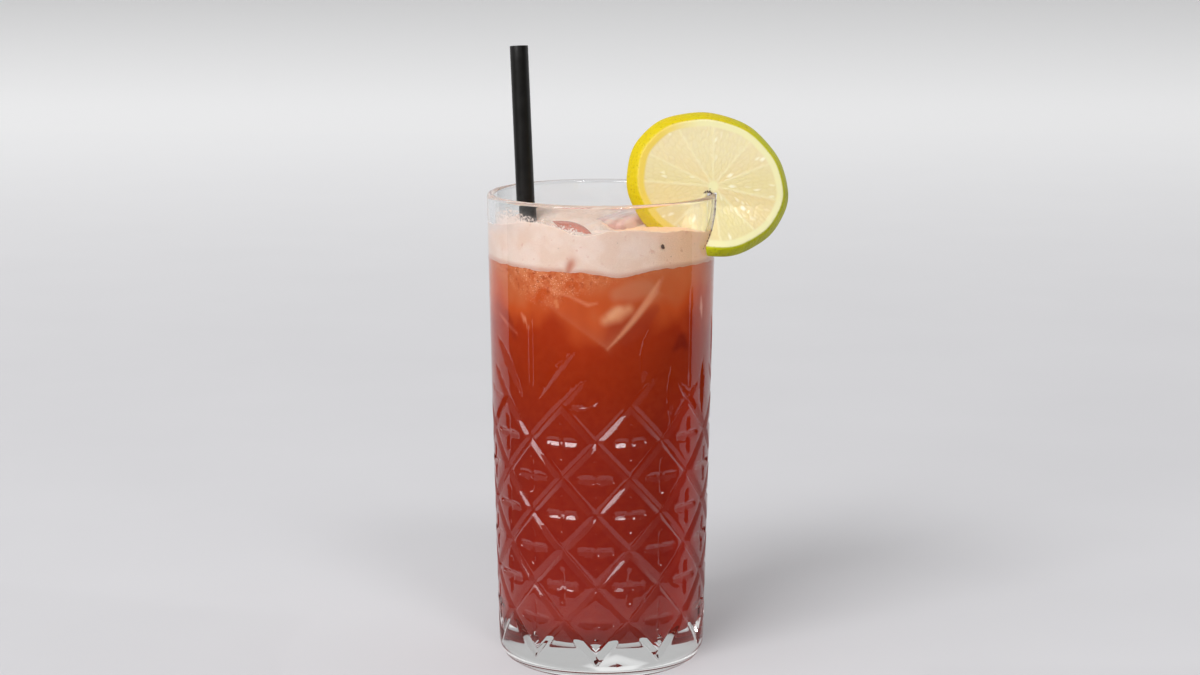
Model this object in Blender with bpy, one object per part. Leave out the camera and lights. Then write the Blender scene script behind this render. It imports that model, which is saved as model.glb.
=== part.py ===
# Strawberry lemonade in a cut highball glass, with its foam, ice, straw and lime wheel.
# Units are metres, +Z is up, the front of the glass faces -Y and the origin is the centre of its foot.

import math

import bmesh
import bpy
import numpy as np
from mathutils import Euler, Matrix, Vector
from mathutils.geometry import delaunay_2d_cdt

MM = 0.001
GAP = 0.3 * MM

# The glass, as a turned shape
GLASS_HEIGHT = 158 * MM
BODY_RADIUS = 34.9 * MM
BODY_FLARE = 0.0241
BODY_CURVE = 0.0286
LIP_RADIUS = 1.2 * MM
WALL_AT_RIM = 2.4 * MM
WALL_GAIN = 3.3 * MM
WALL_POWER = 1.3
HEEL_PROFILE = ((32.6 * MM, 0), (33.6 * MM, 0.8 * MM), (34.0 * MM, 2.0 * MM), (34.8 * MM, 3.4 * MM))
FLOOR_THICKNESS = 9.8 * MM
FLOOR_CORNER = 5.0 * MM
TURNED_SEGMENTS = 80

# The cut pattern, drawn on the wall as if it were rolled out flat
ROLLED_RADIUS = 36.5 * MM
SECTOR_START = -39.0
SECTOR_ANGLE = 90.0
HALF_COLUMN_ANGLE = 18.0
BEND_ANGLE = 9.0
HALF_COLUMNS = 5
ROWS = 7
FIRST_ROW_HEIGHT = 7.7 * MM
ROW_HEIGHT = 12.18 * MM
PATTERN_BOTTOM = 4.5 * MM
PATTERN_TOP = 133 * MM
GROOVE_HALF_WIDTH = 1.6 * MM
GROOVE_SLOPE = 0.62
STAR_HALF_LENGTH = 7.8 * MM
STAR_HALF_WIDTH = 1.35 * MM
STAR_SLOPE = 0.62
LEAF_SLOPE = 0.5
CUT_TOLERANCE = 0.004

# What is in the glass
DRINK_LEVEL = 137.0 * MM
FOAM_LEVEL = 147.6 * MM
FILL_SEGMENTS = 40
FILL_RINGS = (0.22, 0.45, 0.66, 0.84, 1.0)
FILL_WALL_TOP = DRINK_LEVEL - 8 * MM
FILL_WALL_STEPS = 4
ICE_SIZE = Vector((23, 21, 24)) * MM
ICE_ROUNDING = 2.6 * MM
ICE_CENTRE = Vector((12.2, 6.6, 138.9)) * MM
ICE_TURN = Euler((math.radians(-6), math.radians(-12), math.radians(30)))

# The straw, from its foot on the floor of the glass to its open top
STRAW_DIAMETER = 6.2 * MM
STRAW_WALL = 0.4 * MM
STRAW_FOOT = Vector((-20.1, 6.0, 11.0)) * MM
STRAW_TOP = Vector((-27.9, 23.2, 204.8)) * MM
STRAW_SEGMENTS = 24

# The lime wheel: its cut face is turned a little to the right and leans back
WHEEL_CENTRE = Vector((35.9, -4.9, 161.4)) * MM
WHEEL_YAW = math.radians(10)
WHEEL_LEAN = math.radians(11)
WHEEL_ROLL = math.radians(-19)
WHEEL_HALF_LENGTH = 25.1 * MM
WHEEL_HALF_BREADTH = 20.9 * MM
WHEEL_THICKNESS = 5.0 * MM
WHEEL_FLARE = 2.8 * MM
WHEEL_BULGE = math.radians(72)
WHEEL_EDGE = 0.5 * MM
SLIT_BOTTOM = 132.6 * MM
SLIT_GAP = 1.2 * GAP
WHEEL_SEGMENTS = 48
WHEEL_RINGS = (0.2, 0.42, 0.62, 0.8, 0.92, 1.0)

# The flap of lime outside the glass, whose lower part is pushed forwards by the wall
FLAP_TOP = 7.5 * MM
FLAP_HEIGHT = 15 * MM
FLAP_SWING = 9.5 * MM
FLAP_SIDE = -5 * MM
FLAP_FADE_IN = 6 * MM
FLAP_FADE_OUT = 30 * MM
FLAP_RISE = 0.15


def clear_scene():
    for old in list(bpy.data.objects):
        bpy.data.objects.remove(old)


def material(name, colour, roughness, transmission=0.0):
    made = bpy.data.materials.new(name)
    made.use_nodes = True
    shader = made.node_tree.nodes["Principled BSDF"]
    shader.inputs["Base Color"].default_value = (*colour, 1)
    shader.inputs["Roughness"].default_value = roughness
    shader.inputs["Transmission Weight"].default_value = transmission
    made.diffuse_color = (*colour, 1)
    return made


def add_object(name, mesh, finish, sharp_angle=30):
    mesh.materials.append(finish)
    mesh.shade_smooth()
    mesh.set_sharp_from_angle(angle=math.radians(sharp_angle))
    made = bpy.data.objects.new(name, mesh)
    bpy.context.scene.collection.objects.link(made)
    return made


def mesh_from(bm, name):
    mesh = bpy.data.meshes.new(name)
    bm.to_mesh(mesh)
    bm.free()
    return mesh


def around(angle, radius, height):
    """A point on the glass: the angle is in degrees from the front, growing towards +X."""
    turn = math.radians(angle)
    return Vector((radius * math.sin(turn), -radius * math.cos(turn), height))


def outer_radius(height):
    """The radius of the glass where nothing is cut away."""
    return BODY_RADIUS + BODY_FLARE * height - BODY_CURVE * height * height


def inner_radius(height):
    """The radius inside the glass, whose wall thickens towards the floor."""
    lip = GLASS_HEIGHT - LIP_RADIUS
    down = max(0.0, lip - height) / lip
    return outer_radius(height) - WALL_AT_RIM - WALL_GAIN * down**WALL_POWER


def rolled(column, height):
    """A place on the rolled-out wall: half columns from the sector's start, and metres up."""
    return Vector((math.radians(column * HALF_COLUMN_ANGLE) * ROLLED_RADIUS, height))


COLUMN_WIDTH = rolled(1, 0).x
GROOVE_NORMAL = COLUMN_WIDTH * ROW_HEIGHT / math.hypot(COLUMN_WIDTH, ROW_HEIGHT)
CROSSING_HALF_WIDTH = GROOVE_HALF_WIDTH / GROOVE_NORMAL * COLUMN_WIDTH
CROSSING_HALF_HEIGHT = GROOVE_HALF_WIDTH / GROOVE_NORMAL * ROW_HEIGHT


def node_place(column, row):
    return rolled(column, FIRST_ROW_HEIGHT + row * ROW_HEIGHT)


def groove_depth(place):
    """The depth of the diagonal grooves, which cross at every second node of the lattice."""
    across = place.x / COLUMN_WIDTH
    up = (place.y - FIRST_ROW_HEIGHT) / ROW_HEIGHT
    if up > ROWS:
        return 0.0
    if up < 0:
        away = abs((across + 1) % 2 - 1) - up
    else:
        away = min(abs((up - across + 1) % 2 - 1), abs((up + across + 1) % 2 - 1))
    return GROOVE_SLOPE * (GROOVE_HALF_WIDTH - away * GROOVE_NORMAL)


def star_arm(along):
    """The half width of a star's arm at a distance from the star's centre."""
    return STAR_HALF_WIDTH * (1 - (along / STAR_HALF_LENGTH) ** 2)


def star_depth(place):
    """The depth of the four-pointed star in the middle of each diamond."""
    column = round(place.x / COLUMN_WIDTH)
    row = round((place.y - FIRST_ROW_HEIGHT) / ROW_HEIGHT)
    if (column + row) % 2 == 0 or not 1 <= row < ROWS:
        return 0.0
    aside = place - node_place(column, row)
    level = star_arm(aside.x) - abs(aside.y)
    upright = star_arm(aside.y) - abs(aside.x)
    return STAR_SLOPE * max(level, upright)


def leaf(*stations):
    """A long V cut, as (column, height in mm, half width in mm) along its valley."""
    return [(rolled(column, height * MM), width * MM) for column, height, width in stations]


def leaves():
    """The leaf-shaped cuts above the diamonds in one sector, which is mirrored into the next."""
    top = (FIRST_ROW_HEIGHT + ROWS * ROW_HEIGHT) / MM
    wide = GROOVE_HALF_WIDTH / MM
    below = top - wide
    slant = GROOVE_HALF_WIDTH / ROW_HEIGHT
    yield leaf((1 - slant, below, wide), (1.28, top + 3.6, 1.45), (1.55, top + 7.0, 0.95), (1.8, top + 9.3, 0.0))
    yield leaf((3 - slant, below, wide), (3.28, top + 3.6, 1.45), (3.58, top + 7.0, 0.95), (3.83, top + 9.3, 0.0))
    yield leaf((5, top, wide), (4.72, top + 3.4, 1.0), (4.5, top + 6.0, 0.0))
    yield leaf((0.17, 92.0, 0.0), (0.5, 98.5, 0.9), (0.84, 104.3, 1.5), (1.22, 109.0, 1.1), (1.58, 112.8, 0.0))
    yield leaf((0.08, 92.0, 0.0), (0.08, 100.0, 0.75), (0.08, 118.0, 0.75), (0.08, 130.0, 0.0))
    yield leaf((1.04, 91.9, 0.0), (1.3, 92.5, 0.7), (1.65, 92.8, 0.8), (1.95, 93.2, 0.0))
    yield leaf((1.7, 92.3, 0.0), (1.96, 93.8, 0.75), (2.25, 96.2, 0.0))
    yield leaf((3.31, 98.8, 0.0), (3.36, 104.0, 1.5), (3.36, 109.5, 1.8), (3.4, 114.0, 1.3), (3.62, 120.5, 0.0))
    yield leaf((4.25, 85.0, 0.0), (4.27, 92.0, 1.6), (4.28, 99.0, 1.8), (4.25, 106.0, 0.0))
    yield leaf((5, 96.0, 0.0), (5, 103.0, 0.4), (5, 122.0, 0.4), (5, 131.0, 0.0))


def leaf_depth(cut, place):
    """The depth of one leaf: a V whose floor rises as the leaf narrows."""
    deepest = 0.0
    for (start, start_width), (end, end_width) in zip(cut, cut[1:]):
        run = end - start
        part = min(1.0, max(0.0, (place - start).dot(run) / run.length_squared))
        width = start_width + (end_width - start_width) * part
        deepest = max(deepest, width - (place - start - run * part).length)
    return LEAF_SLOPE * deepest


def pattern_depth(place, cuts):
    depths = [leaf_depth(cut, place) for cut in cuts]
    return max(0.0, groove_depth(place), star_depth(place), *depths)


def lattice_lines():
    """Valleys, crossing creases and diamond edges of the lattice, as pairs of places."""
    wide = Vector((CROSSING_HALF_WIDTH, 0))
    tall = Vector((0, CROSSING_HALF_HEIGHT))
    for row in range(ROWS + 1):
        for column in range(HALF_COLUMNS + 1):
            here = node_place(column, row)
            if (column + row) % 2 == 0:
                yield here, here - tall
                if row < ROWS:
                    yield here, here + tall
                    yield here, node_place(column + 1, row + 1)
                    yield here, node_place(column - 1, row + 1)
                if row > 0:
                    yield here - wide, here
                    yield here, here + wide
                continue
            for side in (-1, 1):
                beside = node_place(column + side, row)
                if row > 0:
                    yield node_place(column, row - 1) + tall, beside - wide * side
                if row < ROWS:
                    low = beside - wide * side if row > 0 else beside - tall
                    yield node_place(column, row + 1) - tall, low


def star_lines():
    """Valleys, creases and edges of the stars, as pairs of places."""
    corner = star_arm(STAR_HALF_WIDTH)
    half = STAR_HALF_LENGTH / 2
    for row in range(1, ROWS):
        for column in range(HALF_COLUMNS + 1):
            if (column + row) % 2 == 0:
                continue
            here = node_place(column, row)
            for side in (-1, 1):
                yield here, here + Vector((side * STAR_HALF_LENGTH, 0))
                yield here, here + Vector((0, side * STAR_HALF_LENGTH))
                for up in (-1, 1):
                    inside = here + Vector((side * corner, up * corner))
                    level = here + Vector((side * half, up * star_arm(half)))
                    upright = here + Vector((side * star_arm(half), up * half))
                    yield here, inside
                    yield inside, level
                    yield level, here + Vector((side * STAR_HALF_LENGTH, 0))
                    yield inside, upright
                    yield upright, here + Vector((0, up * STAR_HALF_LENGTH))


def leaf_lines(cut):
    """The valley and the two edges of a leaf, as pairs of places."""
    edges = []
    for index, (place, width) in enumerate(cut):
        before = cut[max(index - 1, 0)][0]
        after = cut[min(index + 1, len(cut) - 1)][0]
        along = (after - before).normalized()
        aside = Vector((-along.y, along.x)) * width
        edges.append((place, place + aside, place - aside))
    for start, end in zip(edges, edges[1:]):
        yield from zip(start, end)


def frame_lines(width):
    """The sector's border and the upright lines where its flat faces bend round the glass."""
    bends = round(SECTOR_ANGLE / BEND_ANGLE)
    for bend in range(bends + 1):
        x = width * bend / bends
        yield Vector((x, PATTERN_BOTTOM)), Vector((x, PATTERN_TOP))
    for step in range(2 * bends):
        x = width * step / (2 * bends)
        onwards = width * (step + 1) / (2 * bends)
        for height in (PATTERN_BOTTOM, PATTERN_TOP):
            yield Vector((x, height)), Vector((onwards, height))


def clipped(line, width):
    """The part of a line that lies inside the sector, or None."""
    start, end = sorted(line, key=lambda place: place.x)
    if end.x <= 0 or start.x >= width:
        return (start, end) if start.x == end.x and start.x in (0, width) else None
    run = end - start
    low = max(0.0, -start.x / run.x) if run.x else 0.0
    high = min(1.0, (width - start.x) / run.x) if run.x else 1.0
    return start + run * low, start + run * high


def sector_mesh():
    """The cut wall of one sector, rolled out flat: places with a depth, and triangles."""
    width = rolled(HALF_COLUMNS, 0).x
    cuts = list(leaves())
    lines = [*frame_lines(width), *lattice_lines(), *star_lines()]
    for cut in cuts:
        lines += leaf_lines(cut)
    places = []
    edges = []
    for line in lines:
        kept = clipped(line, width)
        if kept and (kept[1] - kept[0]).length > GAP / 10:
            edges.append((len(places), len(places) + 1))
            places += kept
    found, _, faces, *_ = delaunay_2d_cdt([place / MM for place in places], edges, [], 0, CUT_TOLERANCE)
    flat = [place * MM for place in found]
    return [(place, pattern_depth(place, cuts)) for place in flat], faces


def ring(bm, radius, height):
    """One ring of points round the axis."""
    step = 360 / TURNED_SEGMENTS
    return [bm.verts.new(around(SECTOR_START + step * k, radius, height)) for k in range(TURNED_SEGMENTS)]


def skin(bm, profile):
    """Faces between rings, from one profile point (radius, height) to the next."""
    rings = [ring(bm, radius, height) for radius, height in profile]
    for first, second in zip(rings, rings[1:]):
        for k in range(len(first)):
            after = (k + 1) % len(first)
            bm.faces.new((first[k], first[after], second[after], second[k]))
    return rings


def arc(centre_radius, centre_height, radius, start, end, steps):
    """Points (radius, height) on a quarter or half circle, with angles in degrees."""
    for k in range(steps + 1):
        turn = math.radians(start + (end - start) * k / steps)
        yield centre_radius + radius * math.cos(turn), centre_height + radius * math.sin(turn)


def inside_profile(inset, top, steps):
    """The hollow of the glass from a height down to its floor, shrunk by an inset."""
    low = FLOOR_THICKNESS + FLOOR_CORNER
    for k in range(steps + 1):
        height = top + (low - top) * k / steps
        yield inner_radius(height) - inset, height
    corner = FLOOR_CORNER - inset
    yield from list(arc(inner_radius(low) - FLOOR_CORNER, low, corner, 0, -90, 4))[1:]


def glass_mesh():
    bm = bmesh.new()
    places, faces = sector_mesh()
    for sector in range(4):
        mirrored = sector % 2 == 1
        start = SECTOR_START + 2 * SECTOR_ANGLE * ((sector + 1) // 2)
        points = []
        for place, depth in places:
            turn = math.degrees(place.x / ROLLED_RADIUS)
            angle = start - turn if mirrored else start + turn
            points.append(bm.verts.new(around(angle, outer_radius(place.y) - depth, place.y)))
        for face in faces:
            corners = [points[k] for k in face]
            bm.faces.new(corners[::-1] if mirrored else corners)
    lip = GLASS_HEIGHT - LIP_RADIUS
    above = [(outer_radius(height), height) for height in np.linspace(PATTERN_TOP, lip, 4)]
    above += list(arc(outer_radius(lip) - LIP_RADIUS, lip, LIP_RADIUS, 0, 180, 6))[1:-1]
    above += inside_profile(0, lip, 6)
    rings = skin(bm, above)
    bm.faces.new(rings[-1])
    rings = skin(bm, [*HEEL_PROFILE, (outer_radius(PATTERN_BOTTOM), PATTERN_BOTTOM)])
    bm.faces.new(rings[0][::-1])
    bmesh.ops.remove_doubles(bm, verts=bm.verts, dist=0.01 * MM)
    bmesh.ops.recalc_face_normals(bm, faces=bm.faces)
    return mesh_from(bm, "glass")


def bell(value, middle, spread):
    return math.exp(-(((value - middle) / spread) ** 2))


def drink_top(x, y):
    """Where the red drink meets the foam: nearly level, with a low stretch at the front wall."""
    angle = math.degrees(math.atan2(x, -y))
    edge = math.hypot(x, y) / inner_radius(DRINK_LEVEL)
    dip = 1.9 * bell(angle, 10, 13) * edge**3
    ripple = 0.3 * math.sin(math.radians(3 * angle)) * edge
    return DRINK_LEVEL + (ripple - dip) * MM


def foam_top(x, y):
    """The foam's surface: it creeps up the wall at the left, with a shallow hollow before it."""
    angle = math.degrees(math.atan2(x, -y))
    edge = math.hypot(x, y) / inner_radius(FOAM_LEVEL)
    creep = 1.2 + 4.2 * bell(angle, -42, 22) - 1.3 * bell(angle, -12, 9)
    creep += 1.2 * bell(angle, 12, 14) - 2.2 * bell(angle, 70, 22)
    hollow = 1.6 * bell(x, -10 * MM, 7 * MM) * bell(y, -17 * MM, 11 * MM)
    swell = 0.5 * math.sin(x / (9 * MM) + 1) * math.cos(y / (8 * MM))
    return FOAM_LEVEL + (creep * edge**8 - hollow + swell) * MM


def fill_angles():
    return [SECTOR_START + 360 / FILL_SEGMENTS * k for k in range(FILL_SEGMENTS)]


def surface_rings(bm, height_of, wall_height, inset):
    """A disc of rings across the inside of the glass; its outer ring lies along the wall."""
    rings = []
    reach = inner_radius(wall_height) - inset
    for part in FILL_RINGS:
        points = []
        for angle in fill_angles():
            place = around(angle, reach * part, 0)
            place.z = height_of(place.x, place.y)
            if part == 1:
                place = around(angle, inner_radius(place.z) - inset, place.z)
            points.append(bm.verts.new(place))
        rings.append(points)
    centre = bm.verts.new((0, 0, height_of(0, 0)))
    for k in range(FILL_SEGMENTS):
        bm.faces.new((centre, rings[0][k], rings[0][(k + 1) % FILL_SEGMENTS]))
    join_rings(bm, rings)
    return rings[-1]


def join_rings(bm, rings):
    for first, second in zip(rings, rings[1:]):
        for k in range(len(first)):
            after = (k + 1) % len(first)
            bm.faces.new((first[k], first[after], second[after], second[k]))


def drink_mesh():
    """The red drink, from the floor of the glass to the underside of the foam."""
    inset = GAP + facet_sag()
    bm = bmesh.new()
    rings = [surface_rings(bm, drink_top, DRINK_LEVEL, inset)]
    for radius, height in inside_profile(inset, FILL_WALL_TOP, FILL_WALL_STEPS):
        rings.append([bm.verts.new(around(angle, radius, height)) for angle in fill_angles()])
    join_rings(bm, rings)
    bm.faces.new(rings[-1])
    bmesh.ops.recalc_face_normals(bm, faces=bm.faces)
    return mesh_from(bm, "drink")


def foam_mesh():
    """The layer of foam between the drink and its own uneven surface."""
    inset = GAP + facet_sag()
    bm = bmesh.new()
    top = surface_rings(bm, foam_top, FOAM_LEVEL, inset)
    under = surface_rings(bm, lambda x, y: drink_top(x, y) + GAP, DRINK_LEVEL, inset)
    join_rings(bm, [top, under])
    bmesh.ops.recalc_face_normals(bm, faces=bm.faces)
    return mesh_from(bm, "foam")


def facet_sag():
    """How far the flats of the coarser fill stand in from the finer glass wall."""
    return inner_radius(DRINK_LEVEL) * (1 - math.cos(math.pi / TURNED_SEGMENTS))


def ice_mesh(grow):
    """A cube of ice with its edges melted round."""
    bm = bmesh.new()
    bmesh.ops.create_cube(bm, size=1)
    bmesh.ops.scale(bm, verts=bm.verts, vec=ICE_SIZE + Vector((2, 2, 2)) * grow)
    rounding = ICE_ROUNDING + grow
    bmesh.ops.bevel(bm, geom=bm.edges[:], offset=rounding, segments=3, profile=0.5, affect="EDGES")
    bmesh.ops.rotate(bm, verts=bm.verts, matrix=ICE_TURN.to_matrix())
    bmesh.ops.translate(bm, verts=bm.verts, vec=ICE_CENTRE)
    return mesh_from(bm, "ice")


def tube_mesh(name, outer, inner, foot, top):
    """A straight tube, or a rod where the inner radius is None."""
    bm = bmesh.new()
    length = (top - foot).length
    radii = [outer] if inner is None else [outer, inner]
    loops = []
    for radius in radii:
        for height in (0, length):
            turns = [2 * math.pi * k / STRAW_SEGMENTS for k in range(STRAW_SEGMENTS)]
            loops.append([bm.verts.new((radius * math.cos(t), radius * math.sin(t), height)) for t in turns])
    if inner is None:
        join_rings(bm, loops)
        bm.faces.new(loops[0])
        bm.faces.new(loops[1])
    else:
        outside_low, outside_high, inside_low, inside_high = loops
        join_rings(bm, [outside_low, outside_high, inside_high, inside_low, outside_low])
    bmesh.ops.recalc_face_normals(bm, faces=bm.faces)
    upright = (top - foot).to_track_quat("Z", "Y").to_matrix().to_4x4()
    bm.transform(Matrix.Translation(foot) @ upright)
    return mesh_from(bm, name)


def wheel_axes():
    """The wheel's own axes: across the face, up the face and out of the face."""
    across = Vector((math.cos(WHEEL_YAW), math.sin(WHEEL_YAW), 0))
    ahead = Vector((math.sin(WHEEL_YAW), -math.cos(WHEEL_YAW), 0))
    out = ahead * math.cos(WHEEL_LEAN) + Vector((0, 0, math.sin(WHEEL_LEAN)))
    return across, out.cross(across), out


def flap_swing(aside, up):
    """How far a place on the wheel is pushed forwards: nothing but the foot of the outer flap is."""
    reach = max(0.0, -up - FLAP_TOP) / FLAP_HEIGHT
    if aside < FLAP_SIDE:
        part = max(0.0, 1 - (FLAP_SIDE - aside) / FLAP_FADE_IN)
        share = part * part * (3 - 2 * part)
    else:
        share = math.cos(math.pi / 2 * min(1.0, (aside - FLAP_SIDE) / FLAP_FADE_OUT))
    return FLAP_SWING * share * reach**1.3


def wheel_point(turn, part, depth, step):
    """A place on the wheel: part way out to its edge, behind the cut face by a depth."""
    across, up, out = wheel_axes()
    flare = WHEEL_FLARE * math.sin(WHEEL_BULGE * depth / WHEEL_THICKNESS) / math.sin(WHEEL_BULGE) + step
    along = (WHEEL_HALF_LENGTH + flare) * part * math.cos(turn)
    beside = (WHEEL_HALF_BREADTH + flare) * part * math.sin(turn)
    aside = along * math.cos(WHEEL_ROLL) - beside * math.sin(WHEEL_ROLL)
    above = along * math.sin(WHEEL_ROLL) + beside * math.cos(WHEEL_ROLL)
    swing = Vector((0, -1, FLAP_RISE)) * flap_swing(aside, above)
    return WHEEL_CENTRE + across * aside + up * above - out * depth + swing


def wheel_mesh(grow):
    """The round of lime before its slit: its rind spreads towards the back, as near the fruit's end."""
    back = WHEEL_THICKNESS + grow
    stations = [(part, -grow, grow - WHEEL_EDGE) for part in WHEEL_RINGS]
    stations += [(1.0, WHEEL_EDGE - grow, grow), (1.0, WHEEL_THICKNESS / 2, grow), (1.0, back - WHEEL_EDGE, grow)]
    stations += [(part, back, grow - WHEEL_EDGE) for part in reversed(WHEEL_RINGS)]
    bm = bmesh.new()
    rings = []
    for part, depth, step in stations:
        turns = [2 * math.pi * k / WHEEL_SEGMENTS for k in range(WHEEL_SEGMENTS)]
        rings.append([bm.verts.new(wheel_point(turn, part, depth, step)) for turn in turns])
    join_rings(bm, rings)
    for ends, depth in ((rings[0], -grow), (rings[-1], back)):
        centre = bm.verts.new(wheel_point(0, 0, depth, 0))
        for k in range(WHEEL_SEGMENTS):
            bm.faces.new((ends[k], ends[(k + 1) % WHEEL_SEGMENTS], centre))
    bmesh.ops.triangulate(bm, faces=bm.faces)
    bmesh.ops.recalc_face_normals(bm, faces=bm.faces)
    return mesh_from(bm, "lime_wheel")


def wall_cutter_mesh():
    """A ring a little fatter than the wall of the glass, which cuts the slit that hooks over the rim."""
    bm = bmesh.new()
    top = GLASS_HEIGHT + GAP
    heights = [SLIT_BOTTOM, (SLIT_BOTTOM + top) / 2, top]
    outside = [(outer_radius(height) + SLIT_GAP, height) for height in heights]
    inside = [(inner_radius(height) - SLIT_GAP, height) for height in reversed(heights)]
    rings = [ring(bm, radius, height) for radius, height in outside + inside]
    join_rings(bm, [*rings, rings[0]])
    bmesh.ops.recalc_face_normals(bm, faces=bm.faces)
    return mesh_from(bm, "wall_cutter")


def cutter(name, mesh):
    made = bpy.data.objects.new(name, mesh)
    made.hide_render = True
    made.display_type = "WIRE"
    bpy.context.scene.collection.objects.link(made)
    return made


def cut(target, *tools):
    for tool in tools:
        modifier = target.modifiers.new(tool.name, "BOOLEAN")
        modifier.operation = "DIFFERENCE"
        modifier.object = tool


def straw_channel():
    """The space that the straw takes up in the drink and the foam."""
    along = (STRAW_TOP - STRAW_FOOT).normalized()
    foot = STRAW_FOOT - along * GAP
    return tube_mesh("straw_channel", STRAW_DIAMETER / 2 + GAP, None, foot, STRAW_TOP)


def build():
    clear_scene()
    clear_glass = material("clear glass", (0.95, 0.97, 0.97), 0.03, 1.0)
    red = material("strawberry lemonade", (0.35, 0.04, 0.02), 0.1)
    cream = material("pink foam", (0.8, 0.63, 0.55), 0.6)
    frost = material("ice", (0.72, 0.6, 0.6), 0.2, 0.5)
    black = material("black straw", (0.012, 0.011, 0.01), 0.4)
    lime = material("lime", (0.72, 0.66, 0.2), 0.45)

    add_object("glass", glass_mesh(), clear_glass, 12)
    drink = add_object("drink", drink_mesh(), red)
    foam = add_object("foam", foam_mesh(), cream, 50)
    add_object("ice_1", ice_mesh(0), frost, 40)
    add_object("straw", tube_mesh("straw", STRAW_DIAMETER / 2, STRAW_DIAMETER / 2 - STRAW_WALL,
                                  STRAW_FOOT, STRAW_TOP), black)
    wheel = add_object("lime_wheel", wheel_mesh(0), lime)

    channel = cutter("straw_space", straw_channel())
    pocket = cutter("ice_space", ice_mesh(GAP))
    wheel_space = cutter("wheel_space", wheel_mesh(GAP))
    wall = cutter("wall_space", wall_cutter_mesh())
    cut(drink, channel, pocket, wheel_space)
    cut(foam, channel, pocket, wheel_space)
    cut(wheel, wall)


build()
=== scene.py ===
# The looks of the strawberry lemonade: cut glass, cloudy red drink, froth, ice, straw and lime.
# Units are metres, +Z is up, the front of the glass faces -Y and the origin is the centre of its foot.

import math
import random

import bmesh
import bpy
import numpy as np
from mathutils import Euler, Matrix, Vector, noise
from mathutils.kdtree import KDTree


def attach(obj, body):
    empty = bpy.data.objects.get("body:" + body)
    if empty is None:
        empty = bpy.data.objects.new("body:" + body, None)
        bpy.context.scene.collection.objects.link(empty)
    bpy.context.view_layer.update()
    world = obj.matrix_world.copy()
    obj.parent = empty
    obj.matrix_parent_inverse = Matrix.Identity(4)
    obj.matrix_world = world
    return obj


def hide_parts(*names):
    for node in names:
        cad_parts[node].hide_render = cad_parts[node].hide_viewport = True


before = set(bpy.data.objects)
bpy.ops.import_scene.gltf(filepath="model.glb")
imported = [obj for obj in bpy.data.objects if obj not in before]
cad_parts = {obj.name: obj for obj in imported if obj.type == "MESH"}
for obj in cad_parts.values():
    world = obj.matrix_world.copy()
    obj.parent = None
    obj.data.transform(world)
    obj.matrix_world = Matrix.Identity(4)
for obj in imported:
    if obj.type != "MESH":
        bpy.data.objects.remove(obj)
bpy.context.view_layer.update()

MM = 0.001

# The glass, as a turned shape
GLASS_HEIGHT = 158 * MM
BODY_RADIUS = 34.9 * MM
BODY_FLARE = 0.0241
BODY_CURVE = 0.0286
LIP_RADIUS = 1.2 * MM
WALL_AT_RIM = 2.4 * MM
WALL_GAIN = 3.3 * MM
WALL_POWER = 1.3
HEEL_PROFILE = (
    (32.2 * MM, 0), (32.6 * MM, 0), (33.6 * MM, 0.8 * MM), (34.0 * MM, 2.0 * MM), (34.8 * MM, 3.4 * MM),
)
FLOOR_THICKNESS = 9.8 * MM
FLOOR_CORNER = 11.0 * MM
COLUMNS_ROUND = 400

# The cut pattern, drawn on the wall as if it were rolled out flat
ROLLED_RADIUS = 36.5 * MM
SECTOR_START = -39.0
SECTOR_ANGLE = 90.0
HALF_COLUMN_ANGLE = 18.0
HALF_COLUMNS = 5
ROWS = 7
FIRST_ROW_HEIGHT = 7.7 * MM
ROW_HEIGHT = 12.18 * MM
PATTERN_BOTTOM = 4.5 * MM
PATTERN_TOP = 133 * MM
CELLS_A_ROW = 20
GROOVE_SLOPE = 0.62
FOOT_SLOPE = 0.38
STAR_HALF_LENGTH = 11.0 * MM
STAR_LEVEL_WIDTH = 1.7 * MM
STAR_UPRIGHT_WIDTH = 1.15 * MM
STAR_SLOPE = 0.62
LEAF_SLOPE = 0.62
COLUMN_WIDTH = math.radians(HALF_COLUMN_ANGLE) * ROLLED_RADIUS
GROOVE_NORMAL = COLUMN_WIDTH * ROW_HEIGHT / math.hypot(COLUMN_WIDTH, ROW_HEIGHT)
GROOVE_HALF_WIDTH = 4 * GROOVE_NORMAL / CELLS_A_ROW
POLISH = 0.3
RING_GUARD = 0.3 * MM
WELD = 0.001 * MM

# What is in the glass; it reaches a little into the wall so that no gap shows
REACH = 0.15 * MM
DRINK_LEVEL = 137.0 * MM
FOAM_LEVEL = 147.6 * MM
FOAM_OVERLAP = 0.4 * MM
ICE_SIZE = Vector((23, 21, 24)) * MM
ICE_ROUNDING = 2.6 * MM
ICE_LONGEST_EDGE = 1.6 * MM
ICE_CENTRE = Vector((12.2, 6.6, 138.9)) * MM
ICE_TURN = Euler((math.radians(-6), math.radians(-12), math.radians(30)))

# The wet ridge of a sunk cube in the foam: its ends, half its height and the height of its middle line
RIDGE_START = np.array((-17.0, 15.0)) * MM
RIDGE_END = np.array((-2.8, -17.5)) * MM
RIDGE_HALF = 2.3 * MM
RIDGE_LEVEL = 146.1 * MM
RIDGE_FALL = 0.6 * MM

# The film of froth on the wall: from and to which angle and height it is looked for
FILM_ANGLES = (-98, 2)
FILM_HEIGHTS = (145, 157.4)
FILM_INSET = 0.06 * MM

# The straw
STRAW_DIAMETER = 6.2 * MM
STRAW_WALL = 0.4 * MM
STRAW_FOOT = Vector((-20.1, 6.0, 11.0)) * MM
STRAW_TOP = Vector((-27.9, 23.2, 204.8)) * MM
STRAW_SEGMENTS = 64

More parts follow.
